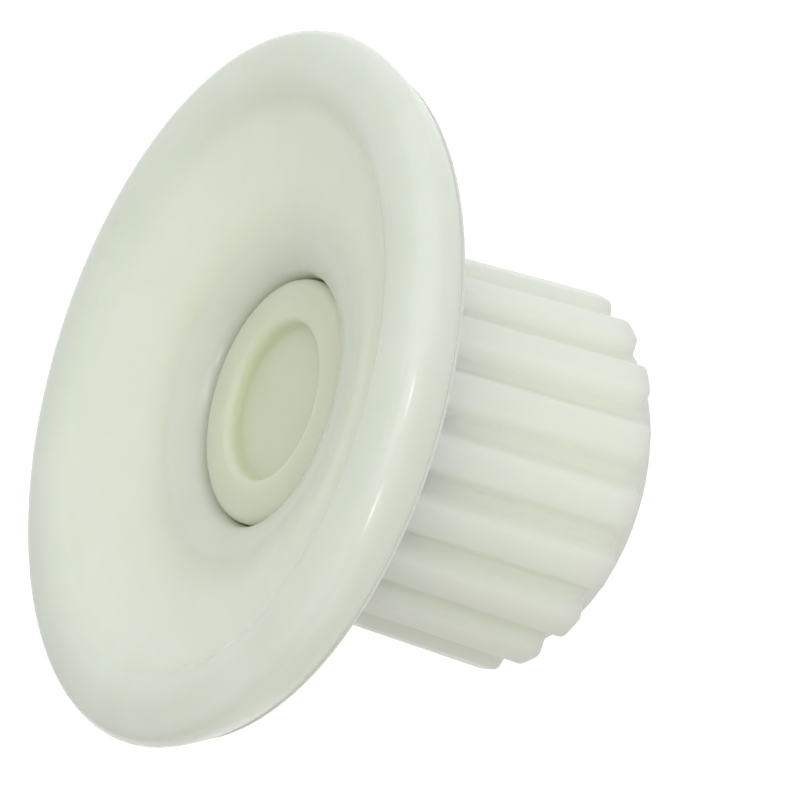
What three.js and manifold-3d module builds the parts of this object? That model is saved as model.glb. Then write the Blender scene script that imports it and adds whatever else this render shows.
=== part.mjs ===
// Spur pinion with a dished flange, running on a fixed spindle sleeve. Millimetres, +Z up.
// The axis of rotation is Z. The pinion's hub ends in z = 0 and the dish opens towards +Z.
import * as THREE from 'three';
import { mergeVertices } from 'three/addons/utils/BufferGeometryUtils.js';
import Module from 'manifold-3d';

const wasm = await Module();
wasm.setup();

// ---- driving dimensions ----
const MODULE = 1.5;
const TEETH = 18;
const PITCH_DEG = 360 / TEETH;
const TIP_R = (MODULE * (TEETH + 2)) / 2; // at the free end
const TOOTH_DEPTH = 0.75 * MODULE; // shallow teeth with narrow valleys
const ROOT_R = TIP_R - TOOTH_DEPTH;
const TAPER = 0.0546; // tip radius lost per mm of height, so the pinion is widest at its free end
const TIP_HALF_DEG = 4.6; // half the tooth at its tip
const FLANK_DEG_PER_MM = 2.9; // how fast the tooth widens towards its root
const TIP_ROUND = 0.3;
const ROOT_ROUND = 0.2;

const HUB_R = 12.7; // plain collar that stands out below the teeth
const HUB_HEIGHT = 1.7;
const PINION_TOP = 24.2;
const BUSH_SEAT_R = 7.3; // bore that holds both bushes
const BUSH_SEAT_LOW = 5.7;
const BUSH_SEAT_HIGH = 17.5;
const REAR_RECESS_R = 8.6; // room for the retaining ring
const SPIGOT_SOCKET_R = 11.25;

const FLANGE_R = 26.7; // at the widest line of the lip
const WIDEST_Z = 30.05;
const LIP_BULGE = 0.5; // half the height of the widest part of the lip
const CREST_R = 23.3;
const CREST_Z = 31.15;
const LIP_INNER_R = 20.85; // where the lip runs into the dish
const LIP_INNER_Z = 29.4;
const FUNNEL_R = 13.2; // where the dish turns down into the funnel
const FUNNEL_Z = 27;
const MOUTH_R = 9.45; // bore of the flange and its spigot
const MOUTH_Z = 25.9;
const RIM_BACK_R = 25.5;
const RIM_BACK_Z = 26.3;
const RIM_BACK_WIDTH = 1.1; // flat edge behind the lip
const BACK_FLAT_R = 14.3; // flat behind the dish, over the pinion
const WALL = 2.3;
const SPIGOT_R = 11.1;
const SPIGOT_LOW = 17.8;
const FLANGE_SEAT_Z = PINION_TOP + 0.3;

const KEY_ANGLES = [60, 180, 300]; // under teeth, where the sleeve is thickest
const KEY_WIDTH = 2.4;
const KEY_OUT_R = 11.9;
const KEY_GAP = 0.3;
const KEY_ROOT = 0.4; // how far a key or its slot runs into what it joins

const SPINDLE_R = 5.45;
const SPINDLE_BORE_R = 3.2; // takes a 6 mm pin
const SPINDLE_BORE_TOP = 21.5; // the bore stops inside the head
const HEAD_R = 9.2;
const HEAD_LOW = 18.7;
const HEAD_HIGH = 25.4;
const RECESS_R = 6; // shallow round recess in the head
const RECESS_FLOOR = 24.3;
const SPINDLE_LOW = 1.2;
const RUNNING_GAP = 0.1;

const BUSH_R = 7.2;
const BUSH_LENGTH = 4.5;
const BUSH_END_GAP = 0.2;
const WASHER_R = 8.1;
const WASHER_THICK = 0.8;
const FRONT_WASHER_LOW = BUSH_SEAT_HIGH + 0.2;
const RING_THICK = 0.9;
const RING_LOW = 3.4;
const RING_R = 7.1;
const RING_GROOVE_R = 4.6;
const RING_GROOVE_GAP = 0.15;
const RING_INNER_R = 4.8;
const RING_GAP_DEG = 56;
const RING_EYE_R = 1.5; // the two lugs that pliers hold
const RING_EYE_OUT = 0.25; // how far the lugs stand out from the middle of the band
const REAR_WASHER_LOW = RING_LOW + RING_THICK + 0.25;

const CHAMFER = 0.35;
const OVER = 1; // how far a cut runs past the face that it opens
const FLANGE_SEGMENTS = 60;
const BEARING_SEGMENTS = 40;

const rad = THREE.MathUtils.degToRad;
const at = (r, z) => new THREE.Vector2(r, z);
const polar = (r, deg) => at(r * Math.cos(rad(deg)), r * Math.sin(rad(deg)));

// ---- solids ----
function weld(geometry) {
  geometry.deleteAttribute('normal');
  geometry.deleteAttribute('uv');
  return mergeVertices(geometry, 1e-4);
}

function solid(geometry) {
  const closed = weld(geometry);
  return new wasm.Manifold(new wasm.Mesh({
    numProp: 3,
    vertProperties: new Float32Array(closed.attributes.position.array),
    triVerts: new Uint32Array(closed.index.array),
  }));
}

function geometryOf(manifold) {
  const mesh = manifold.getMesh();
  const geometry = new THREE.BufferGeometry();
  geometry.setAttribute('position', new THREE.BufferAttribute(mesh.vertProperties, 3));
  geometry.setIndex(new THREE.BufferAttribute(mesh.triVerts, 1));
  return geometry;
}

// A closed profile of (radius, height) points, listed anticlockwise, turned about Z.
function turned(profile, segments = BEARING_SEGMENTS) {
  const geometry = new THREE.LatheGeometry([...profile, profile[0].clone()], segments);
  geometry.rotateX(Math.PI / 2);
  return weld(geometry);
}

// ---- pinion sleeve ----
const flankDeg = (r) => TIP_HALF_DEG + (TIP_R - r) * FLANK_DEG_PER_MM;

function toothedOutline() {
  const shape = new THREE.Shape();
  const tipRoundDeg = THREE.MathUtils.radToDeg(TIP_ROUND / TIP_R);
  const rootRoundDeg = THREE.MathUtils.radToDeg(ROOT_ROUND / ROOT_R);
  const arc = (r, from, to) => shape.absarc(0, 0, r, rad(from), rad(to), false);
  const bend = (corner, end) => shape.quadraticCurveTo(corner.x, corner.y, end.x, end.y);
  const line = (end) => shape.lineTo(end.x, end.y);
  for (let tooth = 0; tooth < TEETH; tooth += 1) {
    const centre = tooth * PITCH_DEG;
    const rising = (r, shift = 0) => polar(r, centre - flankDeg(r) + shift);
    const falling = (r, shift = 0) => polar(r, centre + flankDeg(r) - shift);
    const tipEdge = TIP_HALF_DEG - tipRoundDeg;
    const rootEdge = flankDeg(ROOT_R) + rootRoundDeg;
    if (tooth === 0) shape.moveTo(...rising(ROOT_R, -rootRoundDeg).toArray());
    bend(rising(ROOT_R), rising(ROOT_R + ROOT_ROUND));
    line(rising(TIP_R - TIP_ROUND));
    bend(rising(TIP_R), rising(TIP_R, tipRoundDeg));
    arc(TIP_R, centre - tipEdge, centre + tipEdge);
    line(falling(TIP_R, tipRoundDeg));
    bend(falling(TIP_R), falling(TIP_R - TIP_ROUND));
    line(falling(ROOT_R + ROOT_ROUND));
    bend(falling(ROOT_R), falling(ROOT_R, -rootRoundDeg));
    arc(ROOT_R, centre + rootEdge, centre + PITCH_DEG - rootEdge);
  }
  return shape;
}

function keyBar(width, outer, low, high, angle) {
  const inner = MOUTH_R + KEY_ROOT;
  const bar = new THREE.BoxGeometry(outer - inner, width, high - low);
  bar.translate((outer + inner) / 2, 0, (low + high) / 2);
  bar.rotateZ(rad(angle));
  return solid(bar);
}

function pinionSleeve() {
  const teeth = new THREE.ExtrudeGeometry(toothedOutline(), {
    depth: PINION_TOP - HUB_HEIGHT, bevelEnabled: false, curveSegments: 2,
  });
  teeth.translate(0, 0, HUB_HEIGHT);
  const spots = teeth.attributes.position;
  for (let i = 0; i < spots.count; i += 1) {
    const size = 1 - (TAPER * (spots.getZ(i) - HUB_HEIGHT)) / TIP_R;
    spots.setXY(i, spots.getX(i) * size, spots.getY(i) * size);
  }
  const hub = turned([
    at(0, 0), at(HUB_R - CHAMFER, 0), at(HUB_R, CHAMFER),
    at(HUB_R, HUB_HEIGHT + OVER), at(0, HUB_HEIGHT + OVER),
  ], FLANGE_SEGMENTS);
  const bore = turned([
    at(0, -OVER), at(REAR_RECESS_R + CHAMFER, -OVER), at(REAR_RECESS_R + CHAMFER, 0),
    at(REAR_RECESS_R, CHAMFER), at(REAR_RECESS_R, BUSH_SEAT_LOW), at(BUSH_SEAT_R, BUSH_SEAT_LOW),
    at(BUSH_SEAT_R, BUSH_SEAT_HIGH), at(SPIGOT_SOCKET_R, BUSH_SEAT_HIGH),
    at(SPIGOT_SOCKET_R, PINION_TOP + OVER), at(0, PINION_TOP + OVER),
  ]);
  let sleeve = solid(teeth).add(solid(hub)).subtract(solid(bore));
  const slotWidth = KEY_WIDTH + 2 * KEY_GAP;
  for (const angle of KEY_ANGLES) {
    const slot = keyBar(slotWidth, KEY_OUT_R + KEY_GAP, BUSH_SEAT_HIGH, PINION_TOP + OVER, angle);
    sleeve = sleeve.subtract(slot);
  }
  return geometryOf(sleeve);
}

// ---- dished flange ----
function flangeProfile() {
  const lip = new THREE.SplineCurve([
    at(RIM_BACK_R, RIM_BACK_Z + CHAMFER), at(RIM_BACK_R + 0.75, RIM_BACK_Z + 1.8),
    at(FLANGE_R, WIDEST_Z - LIP_BULGE), at(FLANGE_R - 0.45, WIDEST_Z + LIP_BULGE),
    at(CREST_R + 1.9, CREST_Z - 0.25), at(CREST_R, CREST_Z), at(CREST_R - 1.3, CREST_Z - 0.55),
    at(LIP_INNER_R, LIP_INNER_Z),
  ]);
  const dish = new THREE.CubicBezierCurve(
    at(LIP_INNER_R, LIP_INNER_Z), at(19, LIP_INNER_Z - 0.9), at(15.6, FUNNEL_Z + 0.7), at(FUNNEL_R, FUNNEL_Z),
  );
  const funnel = new THREE.CubicBezierCurve(
    at(FUNNEL_R, FUNNEL_Z), at(FUNNEL_R - 1.6, FUNNEL_Z - 0.46),
    at(MOUTH_R + 0.6, MOUTH_Z + 0.5), at(MOUTH_R, MOUTH_Z - 0.5),
  );
  const front = [...lip.getPoints(11), ...dish.getPoints(3).slice(1), ...funnel.getPoints(3).slice(1)];
  const spigot = [
    at(MOUTH_R, SPIGOT_LOW + CHAMFER), at(MOUTH_R + CHAMFER, SPIGOT_LOW),
    at(SPIGOT_R - CHAMFER, SPIGOT_LOW), at(SPIGOT_R, SPIGOT_LOW + CHAMFER),
    at(SPIGOT_R, FLANGE_SEAT_Z),
  ];
  const back = [
    at(BACK_FLAT_R, FLANGE_SEAT_Z), at(LIP_INNER_R - 1.2, LIP_INNER_Z - WALL - 1),
    at(LIP_INNER_R + 0.6, LIP_INNER_Z - WALL), at(CREST_R, CREST_Z - WALL - CHAMFER),
    at(RIM_BACK_R - RIM_BACK_WIDTH - 0.2, RIM_BACK_Z + 1), at(RIM_BACK_R - RIM_BACK_WIDTH, RIM_BACK_Z),
    at(RIM_BACK_R - CHAMFER, RIM_BACK_Z),
  ];
  return [...front, ...spigot, ...back];
}

function dishedFlange() {
  let flange = solid(turned(flangeProfile(), FLANGE_SEGMENTS));
  for (const angle of KEY_ANGLES) {
    const key = keyBar(KEY_WIDTH, KEY_OUT_R, SPIGOT_LOW + KEY_ROOT, FLANGE_SEAT_Z + KEY_ROOT, angle);
    flange = flange.add(key);
  }
  return geometryOf(flange);
}

// ---- bearing pieces ----
// A sleeve that is closed at the head, so that it caps the pin it sits on.
function spindleSleeve() {
  const grooveLow = RING_LOW - RING_GROOVE_GAP;
  const grooveHigh = RING_LOW + RING_THICK + RING_GROOVE_GAP;
  const sleeve = turned([
    at(0, SPINDLE_BORE_TOP), at(SPINDLE_BORE_R, SPINDLE_BORE_TOP),
    at(SPINDLE_BORE_R, SPINDLE_LOW + CHAMFER), at(SPINDLE_BORE_R + CHAMFER, SPINDLE_LOW),
    at(SPINDLE_R - CHAMFER, SPINDLE_LOW), at(SPINDLE_R, SPINDLE_LOW + CHAMFER),
    at(SPINDLE_R, grooveLow), at(RING_GROOVE_R, grooveLow),
    at(RING_GROOVE_R, grooveHigh), at(SPINDLE_R, grooveHigh),
    at(SPINDLE_R, HEAD_LOW), at(HEAD_R - CHAMFER, HEAD_LOW), at(HEAD_R, HEAD_LOW + CHAMFER),
    at(HEAD_R, HEAD_HIGH - CHAMFER), at(HEAD_R - CHAMFER, HEAD_HIGH),
    at(RECESS_R + CHAMFER, HEAD_HIGH), at(RECESS_R, HEAD_HIGH - CHAMFER),
    at(RECESS_R, RECESS_FLOOR), at(0, RECESS_FLOOR),
  ]);
  return geometryOf(solid(sleeve));
}

// A plain bush, chamfered outside at both ends so that it presses in.
function bush(low) {
  const inner = SPINDLE_R + RUNNING_GAP;
  const high = low + BUSH_LENGTH;
  return turned([
    at(inner, low), at(BUSH_R - CHAMFER, low), at(BUSH_R, low + CHAMFER),
    at(BUSH_R, high - CHAMFER), at(BUSH_R - CHAMFER, high), at(inner, high),
  ]);
}

function washer(low) {
  const inner = SPINDLE_R + RUNNING_GAP;
  const high = low + WASHER_THICK;
  return turned([at(inner, low), at(WASHER_R, low), at(WASHER_R, high), at(inner, high)]);
}

// An open ring that springs into the spindle's groove, with an eyed lug at each end.
function retainingRing() {
  const half = RING_GAP_DEG / 2;
  const shape = new THREE.Shape();
  shape.absarc(0, 0, RING_R, rad(half), rad(360 - half), false);
  shape.absarc(0, 0, RING_INNER_R, rad(360 - half), rad(half), true);
  shape.closePath();
  const body = new THREE.ExtrudeGeometry(shape, {
    depth: RING_THICK, bevelEnabled: false, curveSegments: 12,
  });
  let ring = solid(body.translate(0, 0, RING_LOW));
  const lugR = (RING_R + RING_INNER_R) / 2 + RING_EYE_OUT;
  for (const side of [-1, 1]) {
    const place = polar(lugR, side * half);
    const lug = [RING_EYE_R, RING_THICK, 'add'];
    const eye = [RING_EYE_R / 2, RING_THICK + 2 * OVER, 'subtract'];
    for (const [radius, height, join] of [lug, eye]) {
      const disc = new THREE.CylinderGeometry(radius, radius, height, 12);
      disc.rotateX(Math.PI / 2);
      disc.translate(place.x, place.y, RING_LOW + RING_THICK / 2);
      ring = ring[join](solid(disc));
    }
  }
  return geometryOf(ring);
}

// ---- materials and scene ----
const plastic = (color, roughness) => new THREE.MeshStandardMaterial({ color, roughness, metalness: 0 });
const naturalNylon = plastic(0xd7e0ce, 0.35);
const bearingPlastic = plastic(0xcfcdb2, 0.45);
const spindlePlastic = plastic(0xd2d5be, 0.4);
const springSteel = new THREE.MeshStandardMaterial({ color: 0x8d9196, roughness: 0.35, metalness: 1 });

const named = (name, geometry, material) => {
  geometry.computeVertexNormals();
  const mesh = new THREE.Mesh(geometry, material);
  mesh.name = name;
  return mesh;
};

const gear = new THREE.Group();
gear.add(
  named('pinion_sleeve', pinionSleeve(), naturalNylon),
  named('dished_flange', dishedFlange(), naturalNylon),
  named('front_bush', bush(BUSH_SEAT_HIGH - BUSH_END_GAP - BUSH_LENGTH), bearingPlastic),
  named('rear_bush', bush(BUSH_SEAT_LOW + BUSH_END_GAP), bearingPlastic),
);

const spindle = new THREE.Group();
spindle.add(
  named('spindle_sleeve', spindleSleeve(), spindlePlastic),
  named('front_thrust_washer', washer(FRONT_WASHER_LOW), bearingPlastic),
  named('rear_thrust_washer', washer(REAR_WASHER_LOW), bearingPlastic),
  named('retaining_ring', retainingRing(), springSteel),
);

const group = new THREE.Group();
group.add(gear, spindle);

export default group;
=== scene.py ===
import math

import bmesh
import bpy
from mathutils import Matrix, Vector


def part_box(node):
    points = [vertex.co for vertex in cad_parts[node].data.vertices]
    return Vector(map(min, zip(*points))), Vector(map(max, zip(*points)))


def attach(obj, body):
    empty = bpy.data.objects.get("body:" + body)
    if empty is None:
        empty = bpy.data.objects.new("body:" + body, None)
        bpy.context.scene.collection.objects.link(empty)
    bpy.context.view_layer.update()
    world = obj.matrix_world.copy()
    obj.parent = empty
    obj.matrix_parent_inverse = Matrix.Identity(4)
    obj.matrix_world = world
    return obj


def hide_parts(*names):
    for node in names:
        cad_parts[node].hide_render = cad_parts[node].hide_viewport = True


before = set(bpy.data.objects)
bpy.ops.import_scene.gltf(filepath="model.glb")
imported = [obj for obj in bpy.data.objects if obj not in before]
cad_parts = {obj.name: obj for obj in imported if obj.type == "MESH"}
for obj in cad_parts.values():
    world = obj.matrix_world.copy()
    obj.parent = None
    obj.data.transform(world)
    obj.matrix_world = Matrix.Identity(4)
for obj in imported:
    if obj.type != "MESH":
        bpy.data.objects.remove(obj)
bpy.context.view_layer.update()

# The script works in millimetres and writes meshes in metres. The axis of rotation is Z.
MM = 0.001


def box_mm(node):
    """Largest radius, lowest height and highest height of a CAD node."""
    low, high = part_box(node)
    return high.x / MM, low.z / MM, high.z / MM


TIP_R, _, PINION_TOP = box_mm("pinion_sleeve")
FLANGE_R, SPIGOT_LOW, CREST_Z = box_mm("dished_flange")
BUSH_R, _, FRONT_BUSH_HIGH = box_mm("front_bush")
_, REAR_BUSH_LOW, _ = box_mm("rear_bush")
HEAD_R, SPINDLE_LOW, HEAD_HIGH = box_mm("spindle_sleeve")
_, _, FRONT_WASHER_HIGH = box_mm("front_thrust_washer")
_, RING_LOW, RING_HIGH = box_mm("retaining_ring")

# ---- room between the pieces ----
PRESS_GAP = 0.1  # round a bush in its seat
RUNNING_GAP = 0.1  # round the spindle in a bush or washer
END_GAP = 0.2  # at the ends of the bushes and under the spindle's head
FLANGE_GAP = 0.3  # between the pinion's end and the flange's seat

# ---- pinion ----
TEETH = 18
PITCH_DEG = 360 / TEETH
MODULE = 2 * TIP_R / (TEETH + 2)
TOOTH_DEPTH = 0.75 * MODULE
ROOT_R = TIP_R - TOOTH_DEPTH
HUB_HEIGHT = 1.7
HUB_R = 12.7
TAPER = 0.0546 / TIP_R  # share of the tip radius lost per mm of height
TIP_HALF_DEG = 4.6
FLANK_DEG_PER_MM = 2.9
TIP_ROUND = 0.4
ROOT_ROUND = 0.3
TOOTH_END_ROUND = 0.45  # at the hub
TOOTH_TOP_ROUND = 0.25  # at the flange
TOOTH_TOP_MIDDLE = (0.08, 0.06)  # the middle of that rounding: how far in, how far below the top
EDGE = 0.35  # chamfers and roundings of the larger pieces
REAR_RECESS_R = 8.6
REAR_RECESS_CHAMFER = 0.15
BUSH_SEAT_R = BUSH_R + PRESS_GAP
BUSH_SEAT_LOW = REAR_BUSH_LOW - END_GAP
BUSH_SEAT_HIGH = FRONT_BUSH_HIGH + END_GAP
SOCKET_R = 11.25
SEAT_CHAMFER = 0.2  # of the bush seat and the socket

# ---- flange: pairs are (radius, height) ----
WIDEST_Z = CREST_Z - 1.1
LIP_BULGE = 0.5
CREST_R = 23.3
LIP_INNER = (20.85, 29.4)
FUNNEL_TOP = (13.2, 27.0)
MOUTH_R = 9.45
MOUTH_Z = 25.9
RIM_BACK = (25.5, 26.3)
RIM_BACK_WIDTH = 1.1
BACK_FLAT_R = 14.3
WALL = 2.3
SPIGOT_R = 11.1
SPIGOT_EDGE = 0.3
SEAT_Z = PINION_TOP + FLANGE_GAP

# ---- keys between the flange's spigot and the pinion ----
KEY_ANGLES = (60, 180, 300)
KEY_WIDTH = 2.4
KEY_OUT_R = 11.9
KEY_GAP = 0.3

# ---- bearing pieces ----
SPINDLE_R = 5.45
SPINDLE_BORE_R = 3.2
HEAD_LOW = FRONT_WASHER_HIGH + END_GAP
HEAD_SPARE = 0.08  # closes part of the gap round the head
RECESS_R = 6.0
RECESS_DEPTH = 1.1
RECESS_FLOOR = HEAD_HIGH - RECESS_DEPTH
SPINDLE_BORE_TOP = 21.5
BUSH_BORE_R = SPINDLE_R + RUNNING_GAP
BUSH_EDGE = 0.3
WASHER_EDGE = 0.1
GROOVE_R = 4.6
GROOVE_GAP = 0.15
RING_R = 7.1
RING_INNER_R = 4.8
RING_GAP_DEG = 56
RING_EYE_R = 1.5
RING_EYE_OUT = 0.25  # from the middle of the ring's width to the middle of its eyes
RING_EDGE = 0.07

# ---- view: distances in flange radii, seen from the dish's side ----
VIEW_TILT = math.radians(58.99)  # between the gear's axis and the line of sight
VIEW_ROLL = math.radians(17.29)  # how far the axis falls to the right
VIEW_DISTANCE = 9.882
VIEW_RIGHT = 0.4503
VIEW_UP = -0.033
VIEW_CENTRE = Vector((0, 0, 28.58 * MM))
LENS = 163.9
SENSOR = 36

# ---- light: lengths in metres, powers in watts ----
SKY_LEVEL = 0.615
SKY_SLOPE = (-0.16, 0.235, 0.06)
SKY_DIM = (0.35, (1, 0.965, 0.84))  # (level, colour) of the dim side
SKY_BRIGHT = (0.7, (1, 1, 1))
FLOOR_SIZE = 4
FLOOR_GLOW = 0.95
DOME_R = 1.9
DOME_GLOW = 1.2
LAMPS = {  # name: (direction from the dish, distance, width, height, power)
    "front": ((0.8, 0.1, 0.6), 0.7, 0.4, 0.4, 0.8),
    "lip_glint": ((0.93, 0.21, 0.2), 0.5, 0.05, 0.11, 0.29),
    "lip_glint_low": ((0.9, -0.33, 0.2), 0.5, 0.05, 0.11, 0.29),
}

# ---- meshes ----
WELD = 1e-4  # points closer than this become one
SAME = 1e-6  # numbers closer than this are equal
SHARP_DEG = 40  # edges that turn more than this stay sharp
TURNED_SIDES = 160
FLANGE_SIDES = 216
RING_STEPS = 96
LUG_SIDES = 40

# ---- surfaces: scales in features per metre, bumps as (distance in mm, strength) ----
PLASTIC_IOR = 1.5
SCATTER = (1.0, 1.0, 0.85)  # how far red, green and blue spread, as shares of the depth
CLOUD_SCALE = 140
SHEEN_SCALE = 420
WAVE_SCALE = 260
WAVE_BUMP = (0.05, 0.5)
GRAIN_SCALE = 2600
GRAIN_BUMP = (0.012, 0.35)
STAIN_SCALE = 500
STEEL_GRAIN_SCALE = 3000
STEEL_GRAIN_BUMP = (0.01, 0.4)


# ---------------------------------------------------------------- profiles
def bezier(points, steps):
    """Points along a Bezier curve of any degree, its first point left out."""
    found = []
    for step in range(1, steps + 1):
        level = [Vector(p) for p in points]
        while len(level) > 1:
            level = [a.lerp(b, step / steps) for a, b in zip(level, level[1:])]
        found.append(tuple(level[0]))
    return found


def through(points, steps):
    """Points along a smooth curve through the given ones, with steps to each stretch."""
    found = [tuple(points[0])]
    last = len(points) - 1
    for i in range(last):
        p0, p1, p2, p3 = (Vector(points[min(max(k, 0), last)]) for k in range(i - 1, i + 3))
        for step in range(1, steps + 1):
            t = step / steps
            bend = (2 * p0 - 5 * p1 + 4 * p2 - p3) * t**2 + (3 * p1 - p0 - 3 * p2 + p3) * t**3
            found.append(tuple(0.5 * (2 * p1 + (p2 - p0) * t + bend)))
    return found


def rounded(corners, steps=5):
    """A closed outline with rounded corners. A corner is (radius, height, size of its rounding)."""
    found = []
    count = len(corners)
    for i, (r, z, size) in enumerate(corners):
        here = Vector((r, z))
        if not size:
            found.append((r, z))
            continue
        before = Vector(corners[i - 1][:2])
        after = Vector(corners[(i + 1) % count][:2])
        start = here + (before - here).normalized() * size
        end = here + (after - here).normalized() * size
        found.append(tuple(start))
        found += bezier([start, here, end], steps)
    return found


# ---------------------------------------------------------------- meshes
def polar(radius, deg):
    return radius * math.cos(math.radians(deg)), radius * math.sin(math.radians(deg))


def even_angles(count):
    return [360 * i / count for i in range(count)]


def circle(radius, angles):
    return [polar(radius, deg) for deg in angles]


def finish_mesh(name, bm, sharp_deg=SHARP_DEG):
    bmesh.ops.remove_doubles(bm, verts=bm.verts, dist=WELD * MM)
    bmesh.ops.recalc_face_normals(bm, faces=bm.faces)
    mesh = bpy.data.meshes.new(name)
    bm.to_mesh(mesh)
    bm.free()
    mesh.shade_smooth()
    mesh.set_sharp_from_angle(angle=math.radians(sharp_deg))
    piece = bpy.data.objects.new(name, mesh)
    bpy.context.scene.collection.objects.link(piece)
    normals = piece.modifiers.new("even_normals", "WEIGHTED_NORMAL")
    normals.keep_sharp = True
    return piece


def lofted(name, rows, sharp_deg=SHARP_DEG, ring=True):
    """A solid from rows of (points around, height). In a ring the last row joins the first."""
    bm = bmesh.new()
    grid = [[bm.verts.new((x * MM, y * MM, z * MM)) for x, y in around] for around, z in rows]
    columns = len(grid[0])
    for low, high in zip(grid, grid[1:] + grid[:1] if ring else grid[1:]):
        for i in range(columns):
            k = (i + 1) % columns
            bm.faces.new((low[i], low[k], high[k], high[i]))
    return finish_mesh(name, bm, sharp_deg)


def turned(name, profile, ring=True):
    """A solid of revolution from (radius, height) points, which start and end on Z if it isn't a ring."""
    angles = even_angles(TURNED_SIDES)
    return lofted(name, [(circle(r, angles), z) for r, z in profile], ring=ring)


# ---------------------------------------------------------------- keys
def key_half_deg(outer, half_width):
    return math.degrees(math.asin(half_width / outer))


def key_edges(half_deg, sliver=0.03):
    """Angles just inside and outside each side of each key."""
    steps = (-sliver, sliver)
    return [key + side * half_deg + step for key in KEY_ANGLES for side in (-1, 1) for step in steps]


def keyed_circle(base, outer, half_deg, angles):
    """A circle that stands out to the outer radius over each key."""
    found = []
    for deg in angles:
        off = min(abs((deg - key + 180) % 360 - 180) for key in KEY_ANGLES)
        found.append(polar(outer if off < half_deg else base, deg))
    return found


# ---------------------------------------------------------------- pinion sleeve
def flank_deg(radius):
    """Half the tooth's angle at a radius."""
    return TIP_HALF_DEG + (TIP_R - radius) * FLANK_DEG_PER_MM


def half_tooth():
    """The outline from the middle of a tooth to the middle of a valley."""
    tip_edge = TIP_HALF_DEG - math.degrees(TIP_ROUND / TIP_R)
    root_edge = flank_deg(ROOT_R) + math.degrees(ROOT_ROUND / ROOT_R)
    high = TIP_R - TIP_ROUND
    low = ROOT_R + ROOT_ROUND
    tip = [polar(TIP_R, tip_edge * i / 5) for i in range(6)]
    corner = bezier([tip[-1], polar(TIP_R, TIP_HALF_DEG), polar(high, flank_deg(high))], 6)
    middle = (low + high) / 2
    flank = [polar(r, flank_deg(r)) for r in (middle, low)]
    foot = bezier([flank[-1], polar(ROOT_R, flank_deg(ROOT_R)), polar(ROOT_R, root_edge)], 6)
    valley = [polar(ROOT_R, root_edge + (PITCH_DEG / 2 - root_edge) * i / 3) for i in (1, 2, 3)]
    return tip + corner + flank + foot + valley


def tooth_outline(extra_angles):
    """The whole outline at the free end as (degrees, radius), with points added at extra angles."""
    half = [(math.degrees(math.atan2(y, x)), math.hypot(x, y)) for x, y in half_tooth()]
    tooth = [(-deg, r) for deg, r in reversed(half[1:-1])] + half
    outline = [(t * PITCH_DEG + deg, r) for t in range(TEETH) for deg, r in tooth]
    outline = sorted((deg % 360, r) for deg, r in outline)
    for extra in extra_angles:
        deg = extra % 360
        before = max((p for p in outline if p[0] <= deg), default=outline[-1])
        after = min((p for p in outline if p[0] > deg), default=outline[0])
        gap = (after[0] - before[0]) % 360
        share = ((deg - before[0]) % 360) / gap
        outline.append((deg, before[1] + (after[1] - before[1]) * share))
        outline.sort()
    return outline


def inset(points, amount):
    """A closed outline moved inwards along its own normals."""
    found = []
    count = len(points)
    for i in range(count):
        here = Vector(points[i])
        along = Vector(points[(i + 1) % count]) - Vector(points[i - 1])
        found.append(tuple(here - Vector((along.y, -along.x)).normalized() * amount))
    return found


def quarter(steps=5):
    """Pairs (share along, share across) of a quarter circle, from its start to its end."""
    turns = [math.pi / 2 * step / steps for step in range(steps + 1)]
    return [(1 - math.cos(turn), math.sin(turn)) for turn in turns]


def pinion_sleeve():
    slot_r = KEY_OUT_R + KEY_GAP
    slot_half = key_half_deg(slot_r, KEY_WIDTH / 2 + KEY_GAP)
    outline = tooth_outline(key_edges(slot_half))
    angles = [deg for deg, _ in outline]

    def teeth(z, amount=0.0):
        size = 1 - TAPER * (z - HUB_HEIGHT)
        return inset([polar(r * size, deg) for deg, r in outline], amount), z

    def bore(r, z):
        return circle(r, angles), z

    def socket(r, z):
        return keyed_circle(r, slot_r + r - SOCKET_R, slot_half, angles), z

    # The hub: the edge of the rear recess, the outer edge and the fillet up to the teeth.
    rows = [bore(REAR_RECESS_R + EDGE * out, EDGE * (1 - up)) for out, up in quarter()]
    rows += [bore(HUB_R - EDGE * (1 - out), EDGE * up) for up, out in quarter()]
    rows += [bore(HUB_R + EDGE * out, HUB_HEIGHT - EDGE * (1 - up)) for out, up in quarter()]
    # The teeth, from their rounded ends to the flange.
    end = TOOTH_END_ROUND
    rows += [teeth(HUB_HEIGHT + end * up, end * (1 - out)) for up, out in quarter()]
    straight = PINION_TOP - TOOTH_TOP_ROUND - HUB_HEIGHT
    rows += [teeth(HUB_HEIGHT + straight * share) for share in (0.25, 0.5, 0.75, 1)]
    middle_in, middle_down = TOOTH_TOP_MIDDLE
    rows += [teeth(PINION_TOP - middle_down, middle_in), teeth(PINION_TOP, TOOTH_TOP_ROUND)]
    # Down inside: the socket for the flange's spigot, the bush seat and the rear recess.
    cut = SEAT_CHAMFER
    rows += [socket(SOCKET_R + cut, PINION_TOP), socket(SOCKET_R, PINION_TOP - cut)]
    rows += [socket(SOCKET_R, BUSH_SEAT_HIGH)]
    rows += [bore(BUSH_SEAT_R + cut, BUSH_SEAT_HIGH), bore(BUSH_SEAT_R, BUSH_SEAT_HIGH - cut)]
    rows += [bore(BUSH_SEAT_R, BUSH_SEAT_LOW + cut), bore(BUSH_SEAT_R + cut, BUSH_SEAT_LOW)]
    cut = REAR_RECESS_CHAMFER
    rows += [bore(REAR_RECESS_R - cut, BUSH_SEAT_LOW), bore(REAR_RECESS_R, BUSH_SEAT_LOW - cut)]
    return lofted("moulded_pinion", rows, sharp_deg=45)


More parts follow.
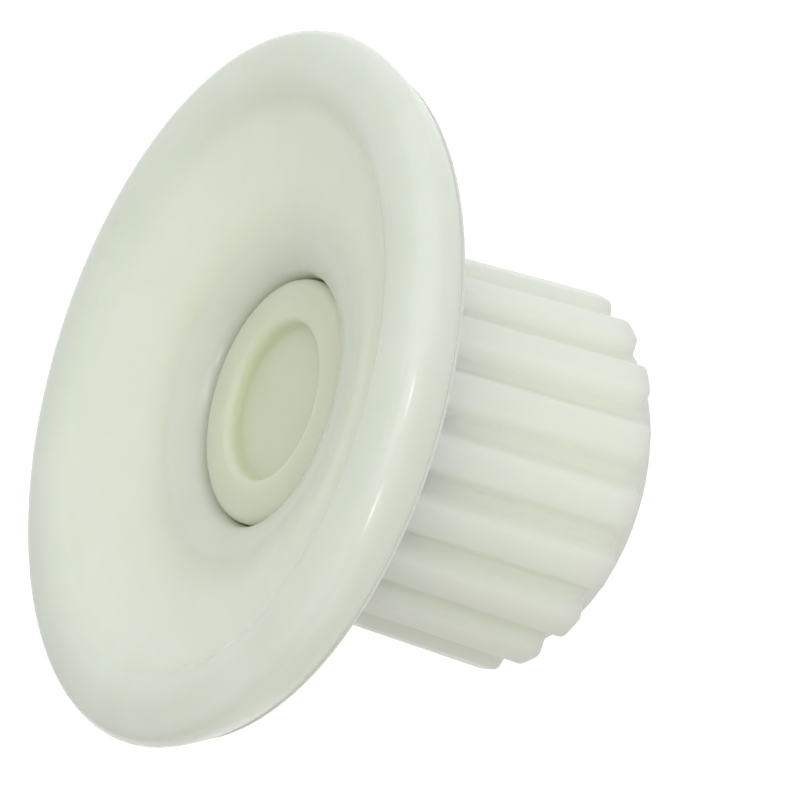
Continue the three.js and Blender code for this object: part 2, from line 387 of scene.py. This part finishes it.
# ---------------------------------------------------------------- dished flange
def flange_front():
    """One smooth curve from the edge behind the lip, over the lip and down the dish to the mouth."""
    return through(
        [
            (RIM_BACK[0], RIM_BACK[1] + EDGE), (RIM_BACK[0] + 0.75, RIM_BACK[1] + 1.8),
            (FLANGE_R, WIDEST_Z - LIP_BULGE), (FLANGE_R - 0.4, WIDEST_Z + LIP_BULGE),
            (CREST_R + 2, CREST_Z - 0.2), (CREST_R, CREST_Z), (CREST_R - 1.3, CREST_Z - 0.5),
            (LIP_INNER[0] + 0.1, LIP_INNER[1] + 0.3), (LIP_INNER[0] - 1.4, LIP_INNER[1] - 0.4),
            (17.4, FUNNEL_TOP[1] + 1.25), (15.3, FUNNEL_TOP[1] + 0.65), FUNNEL_TOP,
            (FUNNEL_TOP[0] - 1.7, MOUTH_Z + 0.85), (MOUTH_R + 0.45, MOUTH_Z), (MOUTH_R, MOUTH_Z - 1.1),
        ],
        8,
    )


def flange_back():
    """Corners of the flange's hidden side, from the spigot out to the edge of the lip."""
    return [
        (SPIGOT_R, SEAT_Z, 0.2), (BACK_FLAT_R, SEAT_Z, 0.3),
        (LIP_INNER[0] - 1.2, LIP_INNER[1] - WALL - 1, 1), (LIP_INNER[0] + 0.6, LIP_INNER[1] - WALL, 0.6),
        (CREST_R, CREST_Z - WALL - EDGE, 0.5), (RIM_BACK[0] - RIM_BACK_WIDTH - 0.2, RIM_BACK[1] + 1, 0.3),
        (RIM_BACK[0] - RIM_BACK_WIDTH, RIM_BACK[1], 0.25), (RIM_BACK[0], RIM_BACK[1], 0.3),
        (RIM_BACK[0] + 0.1, RIM_BACK[1] + EDGE, 0),
    ]


def dished_flange():
    key_half = key_half_deg(KEY_OUT_R, KEY_WIDTH / 2)
    angles = sorted({round(deg % 360, 4) for deg in even_angles(FLANGE_SIDES) + key_edges(key_half)})
    edge = SPIGOT_EDGE
    edge_z = SPIGOT_LOW + edge
    mouth = [(MOUTH_R, MOUTH_Z - 2), (MOUTH_R, edge_z)]
    mouth += bezier([(MOUTH_R, edge_z), (MOUTH_R, SPIGOT_LOW), (MOUTH_R + edge, SPIGOT_LOW)], 4)
    back = rounded([(SPIGOT_R, SPIGOT_LOW, edge), *flange_back()])
    rows = [(circle(r, angles), z) for r, z in flange_front() + mouth]
    for r, z in back:
        on_key = abs(r - SPIGOT_R) < SAME and edge_z - SAME <= z < SEAT_Z
        rows.append((keyed_circle(r, KEY_OUT_R, key_half, angles) if on_key else circle(r, angles), z))
    return lofted("moulded_flange", rows, sharp_deg=50)


# ---------------------------------------------------------------- bearing pieces
def spindle_sleeve():
    groove_low = RING_LOW - GROOVE_GAP
    groove_high = RING_HIGH + GROOVE_GAP
    head_r = HEAD_R + HEAD_SPARE
    corners = [
        (0, SPINDLE_BORE_TOP, 0), (SPINDLE_BORE_R, SPINDLE_BORE_TOP, 0.3),
        (SPINDLE_BORE_R, SPINDLE_LOW, 0.35), (SPINDLE_R, SPINDLE_LOW, 0.35),
        (SPINDLE_R, groove_low, 0.08), (GROOVE_R, groove_low, 0.08),
        (GROOVE_R, groove_high, 0.08), (SPINDLE_R, groove_high, 0.08),
        (SPINDLE_R, HEAD_LOW, 0.15), (head_r, HEAD_LOW, 0.35), (head_r, HEAD_HIGH, 0.9),
        (RECESS_R, HEAD_HIGH, 0.55), (RECESS_R, RECESS_FLOOR, 0.5), (0, RECESS_FLOOR, 0),
    ]
    return turned("turned_spindle", rounded(corners), ring=False)


def plain_ring(name, node, edge):
    """A bush or washer that fills the box of its CAD node and runs on the spindle."""
    outer, low, high = box_mm(node)
    corners = [(BUSH_BORE_R, low, edge), (outer, low, edge), (outer, high, edge), (BUSH_BORE_R, high, edge)]
    return turned(name, rounded(corners, 4))


def boolean(piece, other, operation):
    cut = piece.modifiers.new(operation.lower(), "BOOLEAN")
    cut.operation = operation
    cut.solver = "EXACT"
    cut.object = other
    bpy.context.view_layer.update()
    mesh = bpy.data.meshes.new_from_object(piece.evaluated_get(bpy.context.evaluated_depsgraph_get()))
    piece.modifiers.clear()
    piece.data = mesh
    bpy.data.objects.remove(other)


def prism(name, outline, low, high):
    bm = bmesh.new()
    face = bm.faces.new([bm.verts.new((x * MM, y * MM, low * MM)) for x, y in outline])
    grown = bmesh.ops.extrude_face_region(bm, geom=[face])
    top = [v for v in grown["geom"] if isinstance(v, bmesh.types.BMVert)]
    bmesh.ops.translate(bm, verts=top, vec=(0, 0, (high - low) * MM))
    return finish_mesh(name, bm)


def retaining_ring():
    half = RING_GAP_DEG / 2
    sweep = [half + (360 - RING_GAP_DEG) * i / RING_STEPS for i in range(RING_STEPS + 1)]
    outline = [polar(RING_R, deg) for deg in sweep] + [polar(RING_INNER_R, deg) for deg in reversed(sweep)]
    ring = prism("spring_ring", outline, RING_LOW, RING_HIGH)
    lug_r = (RING_R + RING_INNER_R) / 2 + RING_EYE_OUT
    for side in (-1, 1):
        x, y = polar(lug_r, side * half)
        for radius, over, operation in ((RING_EYE_R, 0.0, "UNION"), (RING_EYE_R / 2, 1.0, "DIFFERENCE")):
            disc = [(x + dx, y + dy) for dx, dy in circle(radius, even_angles(LUG_SIDES))]
            boolean(ring, prism("lug", disc, RING_LOW - over, RING_HIGH + over), operation)
    bevel = ring.modifiers.new("edges", "BEVEL")
    bevel.width = RING_EDGE * MM
    bevel.segments = 2
    bevel.limit_method = "ANGLE"
    bevel.angle_limit = math.radians(45)
    ring.data.shade_smooth()
    ring.data.set_sharp_from_angle(angle=math.radians(SHARP_DEG))
    return ring


# ---------------------------------------------------------------- materials
def node_material(name):
    material = bpy.data.materials.new(name)
    material.use_nodes = True
    tree = material.node_tree
    return material, tree, tree.nodes["Principled BSDF"]


def noise(tree, coords, scale, detail=4.0, rough=0.5):
    node = tree.nodes.new("ShaderNodeTexNoise")
    node.inputs["Scale"].default_value = scale
    node.inputs["Detail"].default_value = detail
    node.inputs["Roughness"].default_value = rough
    tree.links.new(coords, node.inputs["Vector"])
    return node.outputs["Fac"]


def ramp(tree, factor, low, high, colour_low, colour_high):
    node = tree.nodes.new("ShaderNodeValToRGB")
    node.color_ramp.elements[0].position = low
    node.color_ramp.elements[1].position = high
    node.color_ramp.elements[0].color = (*colour_low, 1)
    node.color_ramp.elements[1].color = (*colour_high, 1)
    tree.links.new(factor, node.inputs["Fac"])
    return node.outputs["Color"]


def grey(value):
    return (value, value, value)


def bump(tree, shader, layers):
    """Adds bumps one on the other. A layer is (height socket, (distance in mm, strength))."""
    normal = None
    for height, (distance, strength) in layers:
        node = tree.nodes.new("ShaderNodeBump")
        node.inputs["Distance"].default_value = distance * MM
        node.inputs["Strength"].default_value = strength
        tree.links.new(height, node.inputs["Height"])
        if normal:
            tree.links.new(normal, node.inputs["Normal"])
        normal = node.outputs["Normal"]
    tree.links.new(normal, shader.inputs["Normal"])


def vector_math(tree, operation, first, second):
    """One vector operation. Its second input is a socket or a fixed vector."""
    node = tree.nodes.new("ShaderNodeVectorMath")
    node.operation = operation
    tree.links.new(first, node.inputs[0])
    if isinstance(second, tuple):
        node.inputs[1].default_value = second
    elif second:
        tree.links.new(second, node.inputs[1])
    return node


def paint_light_by_radius(tree, coords, colour, stops):
    """Paints light and shade into a colour by its distance from the axis. A stop is (share of the flange's
    radius, tone).
    """
    size = 1 / (FLANGE_R * MM)
    across = vector_math(tree, "MULTIPLY", coords, (size, size, 0)).outputs["Vector"]
    share = vector_math(tree, "LENGTH", across, None).outputs["Value"]
    painted_light = tree.nodes.new("ShaderNodeValToRGB")
    painted_light.color_ramp.interpolation = "EASE"
    while len(painted_light.color_ramp.elements) < len(stops):
        painted_light.color_ramp.elements.new(0.5)
    for element, (position, tone) in zip(painted_light.color_ramp.elements, stops):
        element.position = position
        element.color = (*tone, 1)
    tree.links.new(share, painted_light.inputs["Fac"])
    return vector_math(tree, "MULTIPLY", colour, painted_light.outputs["Color"]).outputs["Vector"]


def moulded_plastic(name, colours, roughs, depth, streaks=(1, 1, 1), painted_light=None):
    """Cloudy colour, a soft sheen that varies, and light that enters the wall to a depth in mm."""
    material, tree, shader = node_material(name)
    coords = tree.nodes.new("ShaderNodeTexCoord").outputs["Object"]
    stretch = tree.nodes.new("ShaderNodeMapping")
    stretch.inputs["Scale"].default_value = streaks
    tree.links.new(coords, stretch.inputs["Vector"])
    flow = stretch.outputs["Vector"]
    clouds = noise(tree, flow, CLOUD_SCALE, 5, 0.55)
    colour = ramp(tree, clouds, 0.3, 0.7, *colours)
    # Painted light and shade: when given, the colour is made paler or darker by the distance from the axis.
    if painted_light:
        colour = paint_light_by_radius(tree, coords, colour, painted_light)
    tree.links.new(colour, shader.inputs["Base Color"])
    sheen = noise(tree, flow, SHEEN_SCALE, 4, 0.6)
    tree.links.new(ramp(tree, sheen, 0.3, 0.7, grey(roughs[0]), grey(roughs[1])), shader.inputs["Roughness"])
    grain = noise(tree, coords, GRAIN_SCALE, 3, 0.6)
    waves = noise(tree, flow, WAVE_SCALE, 2, 0.4)
    bump(tree, shader, [(waves, WAVE_BUMP), (grain, GRAIN_BUMP)])
    shader.inputs["IOR"].default_value = PLASTIC_IOR
    shader.inputs["Subsurface Weight"].default_value = 1.0
    shader.inputs["Subsurface Radius"].default_value = SCATTER
    shader.inputs["Subsurface Scale"].default_value = depth * MM
    return material


def spring_steel():
    material, tree, shader = node_material("oiled_spring_steel")
    coords = tree.nodes.new("ShaderNodeTexCoord").outputs["Object"]
    stain = noise(tree, coords, STAIN_SCALE, 5, 0.6)
    colour = ramp(tree, stain, 0.35, 0.7, (0.2, 0.2, 0.21), (0.36, 0.37, 0.38))
    tree.links.new(colour, shader.inputs["Base Color"])
    tree.links.new(ramp(tree, stain, 0.3, 0.8, grey(0.3), grey(0.5)), shader.inputs["Roughness"])
    bump(tree, shader, [(noise(tree, coords, STEEL_GRAIN_SCALE, 3, 0.7), STEEL_GRAIN_BUMP)])
    shader.inputs["Metallic"].default_value = 1.0
    return material


# ---------------------------------------------------------------- assembly
def place(piece, node, body, material):
    piece.data.materials.clear()
    piece.data.materials.append(material)
    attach(piece, body)
    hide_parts(node)


# The darker and the lighter colour of each plastic's clouds.
PALE = ((0.785, 0.86, 0.727), (0.825, 0.9, 0.772))
PALER = ((0.81, 0.885, 0.75), (0.85, 0.92, 0.795))
IVORY = ((0.68, 0.68, 0.53), (0.74, 0.74, 0.6))
STRAW = ((0.71, 0.76, 0.57), (0.75, 0.8, 0.615))
# Painted light and shade by radius: the thin wall of the dish is painted palest for the light that comes
# through it; the thicker lip is painted a darker blue-grey and the funnel to the bore a darker yellow, as
# shade.
DISH_PAINTED_LIGHT = (
    (0.36, (0.95, 0.95, 0.9)), (0.46, (0.93, 0.94, 0.91)), (0.62, (0.99, 0.99, 0.98)),
    (0.76, (1, 1, 1)), (0.84, (0.9, 0.9, 0.93)), (1.0, (0.885, 0.885, 0.93)),
)
LENGTHWISE = (1, 1, 0.15)  # draws the clouds out along the axis
# The dish's colour carries painted light and shade by radius.
natural = moulded_plastic("natural_plastic", PALE, (0.2, 0.26), depth=6.0, painted_light=DISH_PAINTED_LIGHT)
toothed = moulded_plastic("natural_plastic_drawn", PALER, (0.32, 0.44), depth=10.0, streaks=LENGTHWISE)
bearing = moulded_plastic("bearing_plastic", IVORY, (0.45, 0.55), depth=2.0)
spindle = moulded_plastic("spindle_plastic", STRAW, (0.35, 0.48), depth=4.0)

place(pinion_sleeve(), "pinion_sleeve", "gear", toothed)
place(dished_flange(), "dished_flange", "gear", natural)
place(spindle_sleeve(), "spindle_sleeve", "spindle", spindle)
place(retaining_ring(), "retaining_ring", "spindle", spring_steel())
for end in ("front", "rear"):
    bush = plain_ring(f"{end}_plain_bush", f"{end}_bush", BUSH_EDGE)
    place(bush, f"{end}_bush", "gear", bearing)
    washer = plain_ring(f"{end}_washer", f"{end}_thrust_washer", WASHER_EDGE)
    place(washer, f"{end}_thrust_washer", "spindle", bearing)


# ---------------------------------------------------------------- studio
def floor():
    """A white sweep. It shows and reflects, while the light that it would throw comes from the sky."""
    bpy.ops.mesh.primitive_plane_add(size=FLOOR_SIZE)
    plane = bpy.context.object
    plane.name = "studio_floor"
    plane.visible_diffuse = False
    material, tree, shader = node_material("white_floor")
    shader.inputs["Base Color"].default_value = (0.3, 0.3, 0.3, 1)
    shader.inputs["Roughness"].default_value = 0.9
    shader.inputs["Emission Color"].default_value = (1, 1, 1, 1)
    shader.inputs["Emission Strength"].default_value = FLOOR_GLOW
    plane.data.materials.append(material)


def backdrop():
    """A white dome that shows behind the object and takes no part in the light."""
    bpy.ops.mesh.primitive_uv_sphere_add(radius=DOME_R, segments=64, ring_count=32)
    dome = bpy.context.object
    dome.name = "studio_backdrop"
    dome.visible_diffuse = False
    dome.visible_glossy = False
    dome.visible_transmission = False
    dome.visible_volume_scatter = False
    dome.visible_shadow = False
    material, tree, shader = node_material("white_backdrop")
    shader.inputs["Base Color"].default_value = (0, 0, 0, 1)
    shader.inputs["Emission Color"].default_value = (1, 1, 1, 1)
    shader.inputs["Emission Strength"].default_value = DOME_GLOW
    dome.data.materials.append(material)


def sky():
    """A white studio whose brightness changes evenly along one direction."""
    world = bpy.data.worlds.new("studio")
    bpy.context.scene.world = world
    world.use_nodes = True
    tree = world.node_tree
    background = tree.nodes["Background"]
    towards = tree.nodes.new("ShaderNodeTexCoord").outputs["Generated"]
    slope = vector_math(tree, "DOT_PRODUCT", towards, SKY_SLOPE).outputs["Value"]
    add = tree.nodes.new("ShaderNodeMath")
    add.operation = "ADD"
    add.inputs[1].default_value = SKY_LEVEL
    tree.links.new(slope, add.inputs[0])
    level = add.outputs["Value"]
    tree.links.new(level, background.inputs["Strength"])
    low, colour_low = SKY_DIM
    high, colour_high = SKY_BRIGHT
    colour = ramp(tree, level, low, high, colour_low, colour_high)
    tree.links.new(colour, background.inputs["Color"])


def soft_box(name, towards, distance, width, height, power):
    """A flat lamp that stands off in one direction and faces the dish."""
    data = bpy.data.lights.new(name, "AREA")
    data.shape = "RECTANGLE"
    data.size = width
    data.size_y = height
    data.energy = power
    lamp = bpy.data.objects.new(name, data)
    bpy.context.scene.collection.objects.link(lamp)
    lamp.location = VIEW_CENTRE + Vector(towards).normalized() * distance
    lamp.rotation_euler = Vector(towards).to_track_quat("Z", "Y").to_euler()
    lamp.visible_camera = False


def camera():
    tilt, roll = VIEW_TILT, VIEW_ROLL
    right = Vector((math.cos(tilt) * math.cos(roll), math.sin(roll), -math.sin(tilt) * math.cos(roll)))
    back = Vector((math.sin(tilt), 0, math.cos(tilt)))
    up = back.cross(right)
    data = bpy.data.cameras.new("camera")
    data.lens = LENS
    data.sensor_width = SENSOR
    data.clip_start = 0.01
    data.clip_end = 20
    eye = bpy.data.objects.new("camera", data)
    bpy.context.scene.collection.objects.link(eye)
    unit = FLANGE_R * MM
    place_at = VIEW_CENTRE + unit * (VIEW_DISTANCE * back + VIEW_RIGHT * right + VIEW_UP * up)
    turn = Matrix((right, up, back)).transposed().to_4x4()
    eye.matrix_world = Matrix.Translation(place_at) @ turn
    bpy.context.scene.camera = eye


floor()
backdrop()
sky()
for lamp_name, lamp in LAMPS.items():
    soft_box(lamp_name, *lamp)
camera()
bpy.context.scene.view_settings.view_transform = "Standard"
